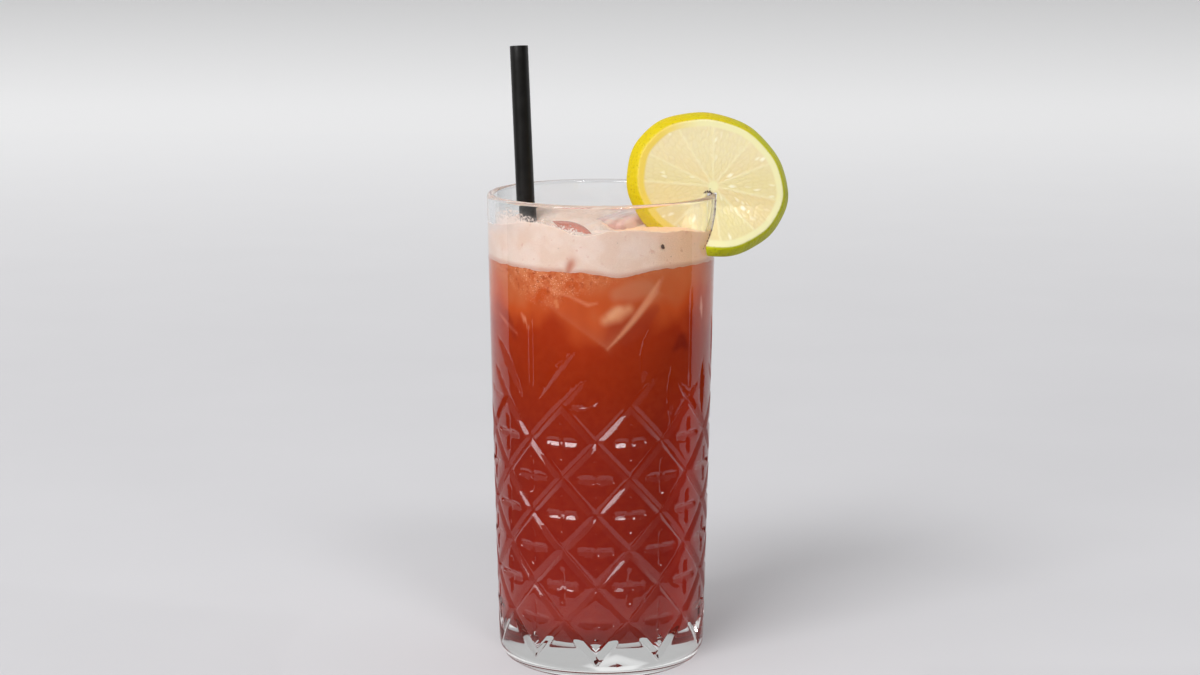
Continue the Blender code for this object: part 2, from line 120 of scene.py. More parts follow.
# The lime wheel
WHEEL_CENTRE = Vector((35.9, -4.9, 161.4)) * MM
WHEEL_YAW = math.radians(10)
WHEEL_LEAN = math.radians(11)
WHEEL_ROLL = math.radians(-19)
WHEEL_HALF_LENGTH = 25.1 * MM
WHEEL_HALF_BREADTH = 20.9 * MM
WHEEL_THICKNESS = 5.0 * MM
WHEEL_FLARE = 2.8 * MM
WHEEL_BULGE = math.radians(72)
WHEEL_EDGE = 0.5 * MM
FLAP_TOP = 7.5 * MM
FLAP_HEIGHT = 15 * MM
FLAP_SWING = 9.5 * MM
FLAP_SIDE = -5 * MM
FLAP_FADE_IN = 6 * MM
FLAP_FADE_OUT = 30 * MM
FLAP_RISE = 0.15
SLIT_BOTTOM = 132.6 * MM
SLIT_GAP = 0.36 * MM
MEMBRANES = np.radians((87, 120, 152, 175, 222, 275, 312, 347, 380, 408))
CORE = np.array((0.9, -1.0)) * MM
CORE_RADIUS = 1.3
PITH_WIDTH = 1.5 * MM
SAC_LENGTH = 2.8
SAC_WIDTH = 1.15
SEGMENTS_APART = 50
WHEEL_COLUMNS = 360
FACE_RINGS = 76
RIND_RINGS = 13

# The photograph's camera
CAMERA_PLACE = Vector((-0.46, -730.8, 247.3)) * MM
CAMERA_DOWN = math.radians(10.736)
CAMERA_LENS = 66.41
SENSOR_WIDTH = 36.0

# The dark card: its ends as angles from the front, its outer edge, and its inner edge, which steps
# back at the right end
CARD_ANGLES = (-108, 102)
CARD_OUTER = 3.0
CARD_INNER = 0.11
CARD_STEP_ANGLE = 82
CARD_STEP = 0.3
CARD_HEIGHT = 1 * MM

FLOOR_HALF_SIZE = 15
FLOOR_DROP = 0.05 * MM
LIGHT_BOUNCES = 24
LAMP_AIM = Vector((0, 0, 0.09))

# The soft lamps: name, angle in degrees from the camera's side, height, distance, width, depth and power
SOFTBOXES = (
    ("window_low", -38, 2.54, 5.44, 3.0, 1.26, 75),
    ("window_high", -36, 4.2, 4.3, 3.0, 1.4, 160),
    ("window_right", 28, 4.3, 4.2, 1.26, 1.05, 50),
    ("strip", -27, 4.9, 3.6, 11.0, 0.9, 130),
)


def linear(red, green, blue):
    """A screen colour, 0 to 255, as linear light."""
    levels = [value / 255 for value in (red, green, blue)]
    return tuple(v / 12.92 if v <= 0.04045 else ((v + 0.055) / 1.055) ** 2.4 for v in levels)


def smooth(value):
    """0 to 1 with soft ends."""
    held = np.clip(value, 0.0, 1.0)
    return held * held * (3 - 2 * held)


def bell(value, middle, spread):
    return np.exp(-(((value - middle) / spread) ** 2))


def mixed(first, second, share):
    """Two colours, or arrays of them, mixed by a share for each point."""
    share = np.asarray(share)[..., None]
    return np.asarray(first) * (1 - share) + np.asarray(second) * share


def cloud(points, scale, seed=0.0, octaves=3):
    """Soft noise about 0 at each point, whose largest lumps are one scale across."""
    shift = Vector((seed, -seed, 2 * seed))
    values = [noise.fractal(Vector(point) / scale + shift, 0.6, 2.1, octaves) for point in points]
    return np.array(values)


def around(angle, radius, height):
    """Points on the glass: the angle is in degrees from the front, growing towards +X."""
    turn = np.radians(angle)
    return np.stack(np.broadcast_arrays(radius * np.sin(turn), -radius * np.cos(turn), height), -1)


def inside_stroke(places, stations):
    """How far places lie inside a stroke, whose stations are (point, half width)."""
    inside = np.full(len(places), -np.inf)
    for (start, start_width), (end, end_width) in zip(stations, stations[1:]):
        run = end - start
        part = np.clip((places - start) @ run / (run @ run), 0.0, 1.0)
        width = start_width + (end_width - start_width) * part
        away = np.linalg.norm(places - start - part[:, None] * run, axis=1)
        inside = np.maximum(inside, width - away)
    return inside


def angle_at(x, y):
    """The angle of places round the glass, in degrees from the front."""
    return np.degrees(np.arctan2(x, -y))


def angles_round(count):
    return SECTOR_START + 360 / count * np.arange(count)


def outer_radius(height):
    return BODY_RADIUS + BODY_FLARE * height - BODY_CURVE * height * height


def inner_radius(height):
    lip = GLASS_HEIGHT - LIP_RADIUS
    down = np.maximum(0.0, lip - height) / lip
    return outer_radius(height) - WALL_AT_RIM - WALL_GAIN * down**WALL_POWER


def arc(centre_radius, centre_height, radius, start, end, steps):
    """Points (radius, height) on part of a circle, with angles in degrees."""
    turns = np.radians(np.linspace(start, end, steps + 1))
    return [(centre_radius + radius * math.cos(t), centre_height + radius * math.sin(t)) for t in turns]


# Meshes

def triangles_between(low, high, radii):
    """Triangles between two closed rings of point numbers, split along the more even diagonal."""
    low_next = np.roll(low, -1)
    high_next = np.roll(high, -1)
    rising = np.abs(radii[low] - radii[high_next]) <= np.abs(radii[low_next] - radii[high])
    first = np.stack((low, low_next, np.where(rising, high_next, high)), 1)
    second = np.stack((np.where(rising, low, low_next), high_next, high), 1)
    return [first, second]


def skin_mesh(name, rings, first=None, last=None):
    """A skin over closed rings of points, with an end point where it closes."""
    count = len(rings[0])
    points = np.concatenate(rings)
    radii = np.hypot(points[:, 0], points[:, 1])
    numbers = np.arange(len(points)).reshape(len(rings), count)
    faces = []
    for low, high in zip(numbers, numbers[1:]):
        faces += triangles_between(low, high, radii)
    closing = ((first, np.roll(numbers[0], -1), numbers[0]), (last, numbers[-1], np.roll(numbers[-1], -1)))
    for centre, start, end in closing:
        if centre is not None:
            faces.append(np.stack((start, end, np.full(count, len(points))), 1))
            points = np.concatenate((points, [centre]))
    mesh = bpy.data.meshes.new(name)
    mesh.from_pydata(points.tolist(), [], np.concatenate(faces).tolist())
    return mesh


def sheet_mesh(name, rows):
    """An open sheet of faces through rows of points."""
    count = len(rows[0])
    low = np.arange(len(rows) - 1)[:, None] * count + np.arange(count - 1)
    faces = np.stack((low, low + 1, low + 1 + count, low + count), -1).reshape(-1, 4)
    mesh = bpy.data.meshes.new(name)
    mesh.from_pydata(np.concatenate(rows).tolist(), [], faces.tolist())
    return mesh


def face_outwards(mesh, weld=0.0):
    """Turns the faces outwards, once points that lie together are joined."""
    bm = bmesh.new()
    bm.from_mesh(mesh)
    if weld:
        bmesh.ops.remove_doubles(bm, verts=bm.verts, dist=weld)
    bmesh.ops.recalc_face_normals(bm, faces=bm.faces)
    bm.to_mesh(mesh)
    bm.free()


def mesh_from(name, bm):
    """The mesh that was built up in bm, which ends with it."""
    mesh = bpy.data.meshes.new(name)
    bm.to_mesh(mesh)
    bm.free()
    return mesh


def link(name, data):
    made = bpy.data.objects.new(name, data)
    bpy.context.scene.collection.objects.link(made)
    return made


def paint(mesh, name, colours):
    """Stores a colour for each point, on the corners of the faces."""
    corners = np.empty(len(mesh.loops), np.int32)
    mesh.loops.foreach_get("vertex_index", corners)
    held = np.ones((len(corners), 4), np.float32)
    held[:, :3] = np.asarray(colours)[corners]
    layer = mesh.attributes.new(name, "FLOAT_COLOR", "CORNER")
    layer.data.foreach_set("color", held.ravel())


def points_of(mesh):
    held = np.empty(len(mesh.vertices) * 3, np.float32)
    mesh.vertices.foreach_get("co", held)
    return held.reshape(-1, 3).astype(float)


def add_piece(name, mesh, materials, replaced=None, sharp_angle=None):
    """A piece that rides on the one body, in the place of a node where one is given."""
    for finish in materials:
        mesh.materials.append(finish)
    mesh.shade_smooth()
    if sharp_angle:
        mesh.set_sharp_from_angle(angle=math.radians(sharp_angle))
    piece = link(name, mesh)
    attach(piece, "root")
    if replaced:
        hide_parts(replaced)
    return piece


# Materials

def new_material(name):
    made = bpy.data.materials.new(name)
    made.use_nodes = True
    return made, made.node_tree, made.node_tree.nodes["Principled BSDF"]


def add_node(tree, kind, **settings):
    """A shader node with its settings."""
    node = tree.nodes.new("ShaderNode" + kind)
    for key, value in settings.items():
        setattr(node, key, value)
    return node


def feed(tree, socket, source):
    """Sets a socket to a value, or links it to another socket."""
    if isinstance(source, bpy.types.NodeSocket):
        tree.links.new(source, socket)
    else:
        socket.default_value = source


def dress(tree, node, **sources):
    """Feeds sockets of a node by name, with _ for each space of the name."""
    for name, source in sources.items():
        feed(tree, node.inputs[name.replace("_", " ")], source)


def noise_of(tree, scale, detail=3.0, roughness=0.5):
    node = add_node(tree, "TexNoise")
    place = add_node(tree, "TexCoord").outputs["Object"]
    dress(tree, node, Vector=place, Scale=scale, Detail=detail, Roughness=roughness)
    return node.outputs["Fac"]


def cells_of(tree, scale):
    """Round cells: the distance from the middle of the nearest one."""
    node = add_node(tree, "TexVoronoi")
    dress(tree, node, Vector=add_node(tree, "TexCoord").outputs["Object"], Scale=scale)
    return node.outputs["Distance"]


def ranged(tree, value, low, high, new_low=0.0, new_high=1.0):
    node = add_node(tree, "MapRange", interpolation_type="SMOOTHSTEP")
    dress(tree, node, Value=value, From_Min=low, From_Max=high, To_Min=new_low, To_Max=new_high)
    return node.outputs["Result"]


def maths(tree, operation, first, second=0.0):
    node = add_node(tree, "Math", operation=operation)
    feed(tree, node.inputs[0], first)
    feed(tree, node.inputs[1], second)
    return node.outputs["Value"]


def times(tree, first, second):
    return maths(tree, "MULTIPLY", first, second)


def colour_mix(tree, share, first, second, blend="MIX"):
    node = add_node(tree, "Mix", data_type="RGBA", blend_type=blend)
    feed(tree, node.inputs["Factor"], share)
    for socket, source in ((node.inputs[6], first), (node.inputs[7], second)):
        feed(tree, socket, (*source, 1.0) if isinstance(source, tuple) else source)
    return node.outputs[2]


def painted(tree, name):
    return add_node(tree, "Attribute", attribute_name=name).outputs["Color"]


def bump(tree, height, distance, strength=1.0, normal=None):
    node = add_node(tree, "Bump")
    dress(tree, node, Height=height, Distance=distance, Strength=strength)
    if normal:
        feed(tree, node.inputs["Normal"], normal)
    return node.outputs["Normal"]


def clear_glass():
    """Polished glass that lets lamps and scattered light straight through to what it holds."""
    made, tree, shader = new_material("clear cut glass")
    ripple = noise_of(tree, 90.0, 2.0)
    dress(tree, shader, Base_Color=(0.985, 0.995, 0.99, 1), Transmission_Weight=1.0, IOR=1.5,
          Roughness=ranged(tree, ripple, 0.3, 0.8, 0.0, 0.02), Normal=bump(tree, ripple, 0.05 * MM, 0.1))
    path = add_node(tree, "LightPath")
    through = maths(tree, "MAXIMUM", path.outputs["Is Shadow Ray"], path.outputs["Is Diffuse Ray"])
    clear = add_node(tree, "BsdfTransparent")
    dress(tree, clear, Color=(0.985, 0.985, 0.985, 1))
    mix = add_node(tree, "MixShader")
    for socket, source in zip(mix.inputs, (through, shader.outputs["BSDF"], clear.outputs["BSDF"])):
        feed(tree, socket, source)
    dress(tree, tree.nodes["Material Output"], Surface=mix.outputs["Shader"])
    return made


def cloudy_drink():
    """Red drink with pulp: its painted tone, clouded finely, and froth where the paint says."""
    made, tree, shader = new_material("cloudy red drink")
    tone = painted(tree, "tone")
    pulp = ranged(tree, noise_of(tree, 420.0, 4.0, 0.6), 0.35, 0.7)
    tone = colour_mix(tree, times(tree, pulp, 0.06), tone, linear(196, 84, 44))
    froth = painted(tree, "froth")
    clumps = ranged(tree, noise_of(tree, 260.0, 4.0, 0.65), 0.38, 0.6)
    gaps = ranged(tree, noise_of(tree, 750.0, 3.0, 0.6), 0.52, 0.68)
    beads = ranged(tree, cells_of(tree, 1700.0), 0.12, 0.38, 1.0, 0.0)
    for share, strength, colour in (
        (clumps, 0.75, linear(206, 124, 84)),
        (gaps, 0.65, linear(136, 50, 26)),
        (times(tree, beads, clumps), 0.8, linear(240, 184, 150)),
    ):
        part = times(tree, times(tree, share, froth), strength)
        tone = colour_mix(tree, part, tone, colour)
    dress(tree, shader, Base_Color=tone, Roughness=0.5, Specular_IOR_Level=0.0, Subsurface_Weight=0.2,
          Subsurface_Radius=(1.0, 0.25, 0.12), Subsurface_Scale=1.5 * MM)
    return made


def pale_foam():
    """Matt foam of fine bubbles, with a few reddish freckles."""
    made, tree, shader = new_material("pale pink foam")
    tone = painted(tree, "tone")
    grains = ranged(tree, cells_of(tree, 1500.0), 0.1, 0.5)
    tone = colour_mix(tree, times(tree, grains, 0.1), tone, linear(190, 134, 114))
    freckles = ranged(tree, noise_of(tree, 620.0, 2.0, 0.5), 0.66, 0.74)
    tone = colour_mix(tree, times(tree, freckles, 0.3), tone, linear(190, 108, 88))
    fine = bump(tree, cells_of(tree, 2200.0), 0.1 * MM, 0.5)
    coarse = bump(tree, noise_of(tree, 350.0, 4.0, 0.6), 0.3 * MM, 0.5, fine)
    dress(tree, shader, Base_Color=tone, Roughness=0.55, Specular_IOR_Level=0.3, Subsurface_Weight=0.3,
          Subsurface_Radius=(1.0, 0.5, 0.35), Subsurface_Scale=2.0 * MM, Normal=coarse)
    return made


def froth_film():
    """Fine grains of drying froth on the inside of the glass, thinning out where the paint says."""
    made, tree, shader = new_material("film of froth")
    cover = painted(tree, "cover")
    grain = ranged(tree, noise_of(tree, 1400.0, 3.0, 0.7), 0.36, 0.64)
    clumps = noise_of(tree, 300.0, 3.0, 0.6)
    uneven = maths(tree, "ADD", times(tree, grain, 0.7), times(tree, clumps, 0.6))
    solid = ranged(tree, maths(tree, "ADD", cover, uneven), 1.08, 1.5, 0.0, 0.96)
    haze = times(tree, maths(tree, "POWER", cover, 3.0), 0.92)
    dress(tree, shader, Alpha=maths(tree, "MAXIMUM", solid, haze), Base_Color=(*linear(228, 209, 199), 1),
          Roughness=0.7, Specular_IOR_Level=0.1)
    return made


def frosted_ice():
    made, tree, shader = new_material("melting ice")
    haze = noise_of(tree, 160.0, 4.0, 0.6)
    tone = colour_mix(tree, ranged(tree, haze, 0.35, 0.65), linear(204, 160, 148), linear(230, 196, 182))
    dress(tree, shader, Base_Color=tone, Roughness=0.16, IOR=1.31, Transmission_Weight=0.15,
          Subsurface_Weight=0.3, Subsurface_Scale=3.0 * MM,
          Normal=bump(tree, noise_of(tree, 220.0), 0.5 * MM, 0.4))
    return made


def black_straw():
    made, tree, shader = new_material("satin black straw")
    wear = noise_of(tree, 260.0, 4.0, 0.6)
    tone = colour_mix(tree, wear, linear(10, 9, 8), linear(20, 18, 16))
    dress(tree, shader, Base_Color=tone, Roughness=ranged(tree, wear, 0.3, 0.7, 0.3, 0.45),
          Specular_IOR_Level=0.3, Normal=bump(tree, noise_of(tree, 900.0, 2.0), 0.05 * MM, 0.3))
    return made


def lime_flesh():
    made, tree, shader = new_material("wet lime flesh")
    dress(tree, shader, Base_Color=painted(tree, "tone"), Roughness=0.35, Specular_IOR_Level=0.3,
          Coat_Weight=0.25, Coat_Roughness=0.1, Subsurface_Weight=0.45, Subsurface_Radius=(1.0, 0.9, 0.4),
          Subsurface_Scale=2.0 * MM, Normal=bump(tree, noise_of(tree, 700.0, 3.0, 0.6), 0.12 * MM, 0.5))
    return made


def lime_rind():
    made, tree, shader = new_material("waxy lime rind")
    tone = painted(tree, "tone")
    pores = cells_of(tree, 900.0)
    dark = ranged(tree, pores, 0.05, 0.34, 0.45, 0.0)
    tone = colour_mix(tree, dark, tone, linear(150, 150, 10), "MULTIPLY")
    dress(tree, shader, Base_Color=tone, Roughness=0.42, Specular_IOR_Level=0.25, Subsurface_Weight=0.1,
          Subsurface_Radius=(1.0, 0.8, 0.1), Subsurface_Scale=1.0 * MM,
          Normal=bump(tree, pores, 0.25 * MM, 0.7))
    return made


def plain_material(name, colour, roughness):
    """One colour, finely mottled with a darker one."""
    made, tree, shader = new_material(name)
    spread = noise_of(tree, 1500.0, 2.0)
    darker = tuple(value * 0.6 for value in colour)
    dress(tree, shader, Base_Color=colour_mix(tree, spread, darker, colour), Roughness=roughness)
    return made


# The glass

def groove_depth(across, up):
    """The depth of the diagonal grooves, which cross at every second node of the lattice.

    The lowest ones have a steep side above and a flatter one below."""
    upright = np.abs((across + 1) % 2 - 1) - up
    rising = np.abs((up - across + 1) % 2 - 1)
    falling = np.abs((up + across + 1) % 2 - 1)
    away = np.where(up < 0, upright, np.minimum(rising, falling))
    depth = GROOVE_SLOPE * (GROOVE_HALF_WIDTH - away * GROOVE_NORMAL)
    lower = FOOT_SLOPE * (GROOVE_HALF_WIDTH - upright * GROOVE_NORMAL)
    upper = 3 * FOOT_SLOPE * (GROOVE_HALF_WIDTH + upright * GROOVE_NORMAL)
    share = smooth((1.05 - up) / 0.4)
    depth = depth * (1 - share) + np.minimum(lower, upper) * share
    return np.where(up > ROWS, 0.0, depth)


def star_arm(along, half_width):
    return half_width * (1 - (along / STAR_HALF_LENGTH) ** 2)


def star_depth(across, up):
    """The depth of the four-pointed star in the middle of each diamond."""
    column = np.round(across)
    row = np.round(up)
    x = (across - column) * COLUMN_WIDTH
    y = (up - row) * ROW_HEIGHT
    level = star_arm(x, STAR_LEVEL_WIDTH) - np.abs(y)
    upright = star_arm(y, STAR_UPRIGHT_WIDTH) - np.abs(x)
    depth = STAR_SLOPE * np.maximum(level, upright)
    return np.where(((column + row) % 2 == 1) & (row >= 1) & (row < ROWS), depth, 0.0)


def leaves():
    """The leaf-shaped cuts above the diamonds in one sector, which is mirrored into the next.

    Each is a long V cut, given as (column, height in mm, half width in mm) along its valley."""
    top = (FIRST_ROW_HEIGHT + ROWS * ROW_HEIGHT) / MM
    wide = GROOVE_HALF_WIDTH / MM
    below = top - wide
    slant = GROOVE_HALF_WIDTH / ROW_HEIGHT
    for cut in (
        ((1 - slant, below, wide), (1.28, top + 3.6, 1.7), (1.55, top + 7.0, 1.3), (1.8, top + 9.8, 0.0)),
        ((3 - slant, below, wide), (3.28, top + 3.6, 1.7), (3.58, top + 7.0, 1.3), (3.83, top + 9.8, 0.0)),
        ((5, top, wide), (4.72, top + 3.4, 1.0), (4.5, top + 6.0, 0.0)),
        ((0.17, 92.0, 0.0), (0.5, 98.5, 1.3), (0.84, 104.3, 2.0), (1.22, 109.0, 1.5), (1.58, 112.8, 0.0)),
        ((0.08, 92.0, 0.0), (0.08, 100.0, 0.75), (0.08, 118.0, 0.75), (0.08, 130.0, 0.0)),
        ((1.04, 91.9, 0.0), (1.3, 92.5, 0.7), (1.65, 92.8, 0.8), (1.95, 93.2, 0.0)),
        ((1.7, 92.3, 0.0), (1.96, 93.8, 0.75), (2.25, 96.2, 0.0)),
        ((3.31, 98.8, 0.0), (3.36, 104.0, 1.5), (3.36, 109.5, 1.8), (3.4, 114.0, 1.3), (3.62, 120.5, 0.0)),
        ((4.25, 85.0, 0.0), (4.27, 92.0, 1.6), (4.28, 99.0, 1.8), (4.25, 106.0, 0.0)),
        ((5, 96.0, 0.0), (5, 103.0, 0.4), (5, 122.0, 0.4), (5, 131.0, 0.0)),
    ):
        yield [(np.array((column * COLUMN_WIDTH, height * MM)), width * MM) for column, height, width in cut]


def pattern_depth(angles, heights):
    """The depth of the cuts on a grid of angles and heights."""
    turn = (angles - SECTOR_START) / SECTOR_ANGLE
    part = turn % 1
    across = HALF_COLUMNS * np.where(np.floor(turn) % 2 == 1, 1 - part, part)
    across, height = np.meshgrid(across, heights)
    up = (height - FIRST_ROW_HEIGHT) / ROW_HEIGHT
    depth = np.maximum(0.0, np.maximum(groove_depth(across, up), star_depth(across, up)))
    places = np.stack((across.ravel() * COLUMN_WIDTH, height.ravel()), 1)
    for cut in leaves():
        depth = np.maximum(depth, LEAF_SLOPE * inside_stroke(places, cut).reshape(depth.shape))
    return depth


def softened(depth):
    """The cuts with their edges a little rounded, as by polishing."""
    wide = (np.roll(depth, 1, 1) + 2 * depth + np.roll(depth, -1, 1)) / 4
    wide[1:-1] = (wide[:-2] + 2 * wide[1:-1] + wide[2:]) / 4
    return depth + (wide - depth) * POLISH


def inside_profile(inset, top, steps):
    """The hollow of the glass from a height down to its floor, shrunk by an inset.

    A guard ring close to each end keeps the rounded shading off the straight wall."""
    low = FLOOR_THICKNESS + FLOOR_CORNER
    heights = [top, *np.linspace(top - RING_GUARD, low + RING_GUARD, steps + 1), low]
    profile = [(inner_radius(height) - inset, height) for height in heights]
    return profile + arc(inner_radius(low) - FLOOR_CORNER, low, FLOOR_CORNER - inset, 0, -90, 12)[1:]


def glass_mesh():
    angles = angles_round(COLUMNS_ROUND)
    step = ROW_HEIGHT / CELLS_A_ROW
    fine = np.arange(PATTERN_BOTTOM, FIRST_ROW_HEIGHT + (ROWS + 0.5) * ROW_HEIGHT, step)
    coarse = np.arange(fine[-1] + 1.5 * step, PATTERN_TOP, 1.5 * step)
    heights = np.concatenate((fine, coarse))
    depth = softened(pattern_depth(angles, heights))
    rings = [around(angles, radius, height) for radius, height in HEEL_PROFILE]
    rings += [around(angles, outer_radius(h) - d, h) for h, d in zip(heights, depth)]
    lip = GLASS_HEIGHT - LIP_RADIUS
    straight = [*np.linspace(PATTERN_TOP, lip - RING_GUARD, 5), lip]
    above = [(outer_radius(height), height) for height in straight]
    above += arc(outer_radius(lip) - LIP_RADIUS, lip, LIP_RADIUS, 0, 180, 16)[1:-1]
    above += inside_profile(0, lip, 8)
    rings += [around(angles, radius, height) for radius, height in above]
    mesh = skin_mesh("glass", rings, (0, 0, 0), (0, 0, FLOOR_THICKNESS))
    face_outwards(mesh)
    return mesh


# What is in the glass

def drink_top(angle, edge):
    """Where the red drink meets the foam: nearly level, with a low stretch at the front wall."""
    ripple = 0.3 * np.sin(np.radians(3 * angle)) * edge
    return DRINK_LEVEL + (ripple - 1.9 * bell(angle, 10, 13) * edge**3) * MM


# Dips in the foam, from the straw round to the front: x, y, breadth and depth in mm
DIPS = (
    (-25.0, 14.0, 9.0, 2.8), (-16.0, 15.5, 7.0, 2.6), (-14.5, 8.0, 8.0, 2.6), (-11.5, 1.0, 7.5, 2.6),
    (-8.0, -7.0, 7.5, 2.6), (-5.0, -16.0, 5.0, 2.0), (6.0, -7.0, 8.0, 1.8),
)


def foam_top(x, y):
    """The foam's surface: it creeps up the wall, most at the left, and dips from the straw to the front."""
    angle = angle_at(x, y)
    edge = np.hypot(x, y) / inner_radius(FOAM_LEVEL)
    creep = 1.2 + 2.4 * bell(angle, -36, 20) - 1.3 * bell(angle, -10, 8)
    creep += 1.2 * bell(angle, 12, 14) - 2.2 * bell(angle, 70, 22)
    dip = 0.0
    for middle_x, middle_y, breadth, depth in DIPS:
        away = np.hypot(x - middle_x * MM, y - middle_y * MM)
        dip = np.maximum(dip, depth * bell(away, 0.0, breadth * MM))
    swell = 0.5 * np.sin(x / (9 * MM) + 1) * np.cos(y / (8 * MM))
    return FOAM_LEVEL + (creep * edge**8 - dip + swell) * MM


def signed(angles):
    """Angles brought to -180 to 180."""
    return (np.asarray(angles) + 180) % 360 - 180


def interface(angles):
    """The height of the drink's edge at the wall, with the small unevenness of the froth."""
    places = around(angles, 1.0, 0.0)
    return drink_top(signed(angles), 1.0) + cloud(places, 0.12, 3.0) * 0.35 * MM


# Cubes of ice under the foam, each as a corner in mm, two edge directions and a size in mm
SUNK_CUBES = (
    ((1.8, -33.2, 111.5), (0.647, 0.192, 0.739), (-0.74, 0.2, 0.6), 24),
    ((-33.0, 6.0, 117.0), (0.25, -0.8, 0.5), (0.2, 0.5, 0.85), 22),
    ((20.0, 26.0, 108.0), (-0.7, 0.35, 0.6), (0.5, -0.3, 0.8), 23),
    ((-16.0, 29.0, 112.0), (-0.5, -0.5, 0.75), (0.7, 0.1, 0.7), 22),
)


def cube_sight(points, inward, cube):
    """How far below each point a sunk cube lies, looking inwards, how near its edge is there, and a number
    for the face met, which sets that face's painted shading.
    """
    corner, first, second, size = cube
    first = np.array(first) / np.linalg.norm(first)
    second = np.array(second) - first * np.dot(first, second)
    second /= np.linalg.norm(second)
    axes = np.stack((first, second, np.cross(second, first)))
    half = size * MM / 2
    centre = np.array(corner) * MM + axes.sum(0) * half
    start = (points - centre) @ axes.T
    run = inward @ axes.T
    run = np.where(np.abs(run) < 1e-6, 1e-6, run)
    ends = np.sort(np.stack(((-half - start) / run, (half - start) / run)), axis=0)
    enters = ends[0].max(1)
    leaves_at = ends[1].min(1)
    met = (enters <= leaves_at) & (leaves_at > 0)
    reach = np.maximum(enters, 0.0)
    hit = np.sort(half - np.abs(start + run * reach[:, None]), axis=1)
    face = (ends[0].argmax(1) + 1) / 3
    return np.where(met, reach, 1.0), np.where(met, hit[:, 1], half), face


# Soft strokes of light and shade on the ice behind the wall: colour, strength, softness in mm and
# stations, which are (angle, height in mm, half width in mm) along the stroke
GLEAMS = (
    ((190, 116, 84), 0.6, 3.4, ((8, 129.5, 2.2), (16, 130.5, 3.4), (24, 131.0, 2.6))),
    ((150, 52, 30), 0.5, 2.0, ((12, 113.5, 1.0), (20, 118.0, 2.4), (29, 124.0, 1.6))),
    ((216, 150, 110), 0.75, 3.6, ((2, 121.0, 1.2), (8, 123.0, 2.2), (14, 124.5, 1.2))),
    ((226, 168, 128), 0.5, 2.4, ((5, 122.5, 1.0), (9, 124.5, 1.0))),
    ((222, 156, 118), 0.6, 1.2, (
        (3, 111.5, 0.0), (10, 116.0, 0.5), (17, 121.0, 0.9), (28, 129.5, 1.2), (31, 133, 0.4),
    )),
    ((198, 116, 84), 0.5, 1.0, ((26, 126.0, 0.2), (30, 130.0, 0.8), (33, 134.0, 0.5))),
    ((206, 116, 92), 0.6, 1.4, ((-66, 119.5, 0.2), (-58, 117.0, 0.7), (-50, 114.5, 0.1))),
    ((214, 134, 100), 0.7, 1.3, ((-46, 121.5, 0.2), (-44, 119.5, 0.7), (-42, 117.0, 0.2))),
    ((126, 32, 18), 0.5, 2.0, ((-59, 121.0, 1.0), (-56, 117.5, 2.0), (-52, 113.0, 1.0))),
    ((212, 134, 100), 0.6, 1.2, (
        (-34, 132.5, 0.2), (-26, 130.2, 0.4), (-16, 128.6, 0.3), (-7, 126.0, 0.5), (-2, 126.6, 0.1),
    )),
    ((208, 134, 92), 0.6, 0.7, ((-24, 126.8, 0.6), (-23.3, 125.0, 0.5))),
    ((226, 158, 134), 0.8, 1.4, ((63.5, 125.5, 0.1), (64, 122.0, 0.9), (65, 118.5, 0.1))),
    ((116, 22, 10), 0.6, 2.5, ((42, 110.0, 1.0), (47, 112.5, 2.4), (51, 110.0, 1.0))),
    ((168, 124, 118), 0.7, 1.5, ((-84, 137.0, 1.2), (-81, 134.0, 1.2), (-78, 131.5, 0.3))),
)


def stroke(cut, angles, heights, softness):
    """How strongly a stroke shows at places on the wall, from 0 to 1."""
    places = np.stack((np.radians(angles) * ROLLED_RADIUS, heights), 1) / MM
    across = ROLLED_RADIUS / MM
    stations = [(np.array((math.radians(angle) * across, height)), width) for angle, height, width in cut]
    return smooth(inside_stroke(places, stations) / softness + 0.5)


# The colour of the drink at heights in mm, from its top down
DRINK_TONES = (
    (137, (188, 104, 66)), (130, (186, 93, 52)), (125, (184, 76, 32)), (115, (152, 44, 12)),
    (100, (140, 38, 9)), (80, (128, 32, 17)), (40, (128, 32, 22)), (20, (133, 40, 31)), (0, (133, 40, 31)),
)


def drink_tones(points, angles, heights):
    """The colour of the drink on its wall: lighter under the foam, with ice showing through, and with painted
    light and shade: a glow and a reflection at the right, shaded cube faces with highlighted edges, and soft
    strokes.
    """
    below = (DRINK_LEVEL - heights) / MM
    swirl = cloud(points * (1, 1, 0.6), 18 * MM, 5.0)
    levels = [height for height, _ in DRINK_TONES][::-1]
    colours = np.array([linear(*colour) for _, colour in DRINK_TONES])[::-1]
    seen = heights / MM + 9 * swirl * smooth(1.3 - below / 45)
    tones = np.stack([np.interp(seen, levels, colours[:, channel]) for channel in range(3)], 1)
    # Painted light: a painted glow makes the drink warmer and brighter at the right under the foam, and a
    # painted reflection lightens the right side lower down
    glow = bell(angles, 52, 15) * smooth(1 - below / 40)
    painted_reflection = bell(angles, 56, 14) * smooth((below - 25) / 30)
    tones = tones * (1 + glow[:, None] * (0.3, 0.05, -0.2) + painted_reflection[:, None] * (0.6, 0.3, 0.2))
    inward = -around(angles, 1.0, 0.0)
    for cube in SUNK_CUBES:
        reach, edge, face = cube_sight(points, inward, cube)
        seen = np.exp(-reach / (3.2 * MM)) * smooth(1.4 - below / 60)
        # Painted shading: each face of a sunk cube takes a different share of the ice tint; a painted
        # highlight lightens its edges
        tones = mixed(tones, linear(196, 116, 82), seen * (0.15 + 0.25 * face))
        tones = mixed(tones, linear(222, 162, 126), seen * bell(edge, 0, 1.4 * MM) * 0.09)
    # Painted highlights and painted shade: the soft strokes of light and shade in GLEAMS
    for colour, strength, softness, cut in GLEAMS:
        tones = mixed(tones, linear(*colour), stroke(cut, angles, heights, softness) * strength)
    return tones


